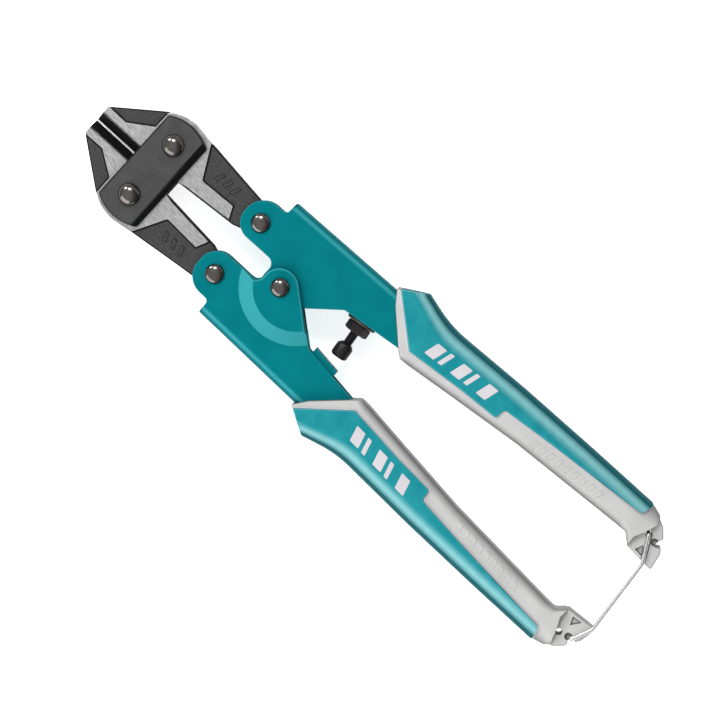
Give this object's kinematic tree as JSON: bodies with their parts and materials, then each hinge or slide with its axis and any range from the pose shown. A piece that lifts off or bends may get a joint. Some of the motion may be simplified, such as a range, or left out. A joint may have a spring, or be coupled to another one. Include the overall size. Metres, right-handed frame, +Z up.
{
  "type": "bolt cutters",
  "caption": "Small compound-action bolt cutters with forged jaws in link plates, folded sheet handles, two-tone moulded grips, a stop bolt and a wire latch",
  "frame": {"origin": "centre of the bounding box in X and Y, on the surface that the closed tool lies on", "axes": "+X from the jaws to the handle ends, +Y to the handle that carries the stop bolt, +Z up, through the thickness"},
  "size_m": [0.2064, 0.0554, 0.018],
  "materials": {
    "link_plate": "black oxide, satin",
    "rivet": "dark burnished steel",
    "jaw": "ground alloy steel with dark forged facets",
    "channel": "semi-gloss teal powder coat",
    "bush": "turned steel",
    "spring": "spring steel",
    "grip_core": "light grey hard plastic",
    "grip_sleeve": "teal soft overmould with a fine diamond texture",
    "stop_bolt": "black oxide",
    "stop_washer": "dark zinc",
    "wire": "bright spring wire"
  },
  "bodies": {
    "head": {"front_link_plate": "link_plate", "back_link_plate": "link_plate", "right_jaw_rivet": "rivet", "left_jaw_rivet": "rivet"},
    "right_jaw_body": {"right_jaw": "jaw"},
    "left_jaw_body": {"left_jaw": "jaw"},
    "right_handle": {"right_channel": "channel", "right_grip_core": "grip_core", "right_grip_sleeve": "grip_sleeve", "right_arm_rivet": "rivet", "stop_bolt": "stop_bolt", "stop_nut": "stop_bolt", "stop_weld_nut": "stop_bolt", "stop_washer": "stop_washer"},
    "left_handle": {"left_channel": "channel", "left_grip_core": "grip_core", "left_grip_sleeve": "grip_sleeve", "left_arm_rivet": "rivet", "centre_rivet": "rivet", "centre_bush": "bush", "opening_spring": "spring"},
    "latch": {"latch_wire": "wire"}
  },
  "joints": [
    {"name": "jaw_opening", "type": "hinge", "parent": "head", "child": "right_jaw_body", "pos_m": [-0.08155, 0.0095, 0.009], "axis": [0, 0, -1], "range_deg": [0, 5.8]},
    {"name": "left_jaw_opening", "type": "hinge", "parent": "head", "child": "left_jaw_body", "pos_m": [-0.08155, -0.0095, 0.009], "axis": [0, 0, 1], "range_deg": [0, 5.8]},
    {"name": "right_handle_swing", "type": "hinge", "parent": "right_jaw_body", "child": "right_handle", "pos_m": [-0.0478, 0.00993, 0.009], "axis": [0, 0, 1], "range_deg": [0, 17.04], "deforming": ["opening_spring"]},
    {"name": "left_handle_swing", "type": "hinge", "parent": "left_jaw_body", "child": "left_handle", "pos_m": [-0.0478, -0.00993, 0.009], "axis": [0, 0, -1], "range_deg": [0, 17.04]},
    {"name": "latch_swing", "type": "hinge", "parent": "right_handle", "child": "latch", "pos_m": [0.09565, 0.0193, 0.009], "axis": [0, 0, 1], "range_deg": [0, 120], "deforming": ["latch_wire"]}
  ],
  "couplings": [
    {"joint": "left_jaw_opening", "follows": "jaw_opening", "ratio": 1},
    {"joint": "right_handle_swing", "follows": "jaw_opening", "ratio": 2.93},
    {"joint": "left_handle_swing", "follows": "jaw_opening", "ratio": 2.93}
  ]
}
